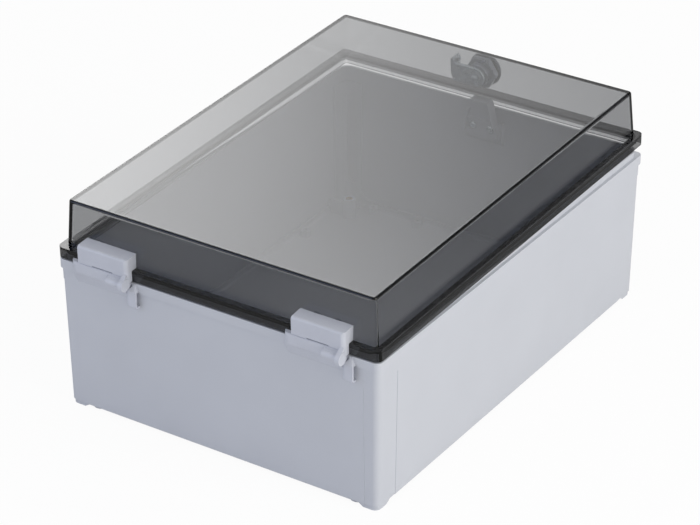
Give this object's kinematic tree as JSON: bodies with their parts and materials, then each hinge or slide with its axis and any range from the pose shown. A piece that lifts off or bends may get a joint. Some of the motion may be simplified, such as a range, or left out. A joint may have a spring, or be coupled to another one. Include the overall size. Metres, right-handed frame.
{
  "type": "hinged enclosure",
  "caption": "Rectangular wall-mount enclosure with a drafted grey tub, a deep smoke-tinted hinged cover on external hinges, and a cam lock with a striker.",
  "frame": {"origin": "centre of the four wall fixing holes, in the plane of the back feet", "axes": "+Z away from the wall towards the cover, +Y from the hinges to the lock along the long side, +X along the short side"},
  "size_m": [0.28, 0.3934, 0.1799],
  "materials": {
    "body_grey": "light grey moulded polycarbonate, fine satin texture",
    "hinge_grey": "light grey moulded plastic, smooth satin",
    "smoke": "smoke-tinted transparent polycarbonate, polished",
    "gasket": "black foam or rubber",
    "zinc": "bright zinc-plated steel or zinc casting",
    "brass": "turned brass"
  },
  "bodies": {
    "base": {"base_tub": "body_grey", "floor_inserts": "brass", "striker": "hinge_grey", "striker_screws": "zinc", "hinge_base_left": "hinge_grey", "hinge_base_right": "hinge_grey", "hinge_base_screws": "zinc", "hinge_pin_left": "zinc", "hinge_pin_right": "zinc"},
    "cover": {"cover_shell": "smoke", "cover_gasket": "gasket", "hinge_leaf_left": "hinge_grey", "hinge_leaf_right": "hinge_grey", "hinge_leaf_screws": "zinc", "hinge_leaf_washers": "gasket", "lock_housing": "zinc", "lock_seal": "gasket", "lock_nut": "zinc"},
    "cam": {"lock_plug": "zinc", "lock_cam": "zinc", "cam_washer": "zinc", "cam_screw": "zinc"}
  },
  "joints": [
    {"name": "cover_hinge", "type": "hinge", "parent": "base", "child": "cover", "pos_m": [0, -0.1985, 0.1254], "axis": [1, 0, 0], "range_deg": [-1.28, 173.7]},
    {"name": "cam_turn", "type": "hinge", "parent": "cover", "child": "cam", "pos_m": [0, 0.183, 0.16203], "axis": [0, -0.9966, -0.0823], "range_deg": [0, 90]}
  ]
}
